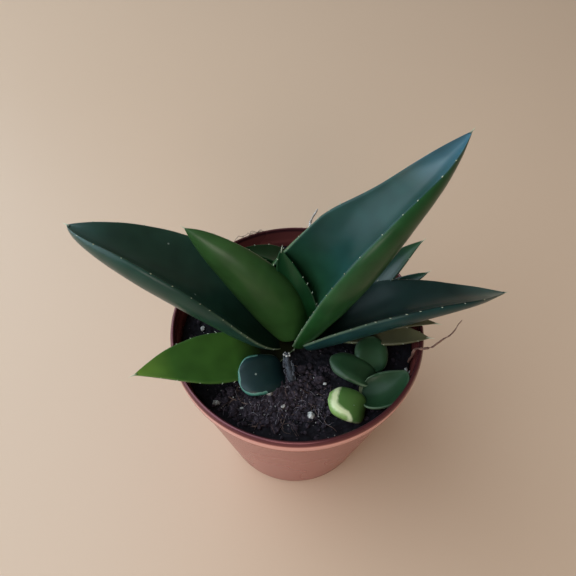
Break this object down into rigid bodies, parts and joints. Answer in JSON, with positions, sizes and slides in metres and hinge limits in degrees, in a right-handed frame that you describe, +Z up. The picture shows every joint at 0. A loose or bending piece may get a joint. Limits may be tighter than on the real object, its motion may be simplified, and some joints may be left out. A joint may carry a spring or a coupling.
{
  "type": "potted black gem aloe",
  "caption": "Small aloe with thick, dark green, channelled leaves and toothed margins, rooted in soil in a round tapered plastic pot with a rounded lip.",
  "frame": {"origin": "centre of the pot's flat base, on the floor it stands on", "axes": "+Z up along the pot's axis, +X to the right and -Y towards the front, the side with the cut leaves and the offset"},
  "size_m": [0.1366, 0.0865, 0.1429],
  "materials": {
    "pot": "satin, smooth moulded plastic",
    "soil": "crumbly black peat mix with pale grains",
    "stem": "smooth pale green stem tissue",
    "leaf": "smooth waxy skin with a soft gloss",
    "pale_leaf": "smooth waxy skin with a soft gloss",
    "cut_leaf": "waxy skin with dried cut ends",
    "dry": "dry fibrous root and stem"
  },
  "bodies": {
    "root": {"pot": "pot", "soil": "soil", "stem": "stem", "leaf_centre": "leaf", "leaf_front_left": "leaf", "leaf_right_tall": "leaf", "leaf_left_rear": "leaf", "leaf_left_large": "leaf", "leaf_right_rear": "leaf", "leaf_right_low": "leaf", "leaf_right_small": "leaf", "leaf_left_rim": "pale_leaf", "leaf_right_under": "leaf", "leaf_right_hidden": "leaf", "cut_leaf_front": "cut_leaf", "offset_crown": "stem", "offset_leaf_rear": "cut_leaf", "offset_leaf_left": "cut_leaf", "offset_leaf_right": "cut_leaf", "offset_leaf_front": "pale_leaf", "old_stem": "dry", "dry_root": "dry", "dry_wisp": "dry"}
  },
  "joints": []
}
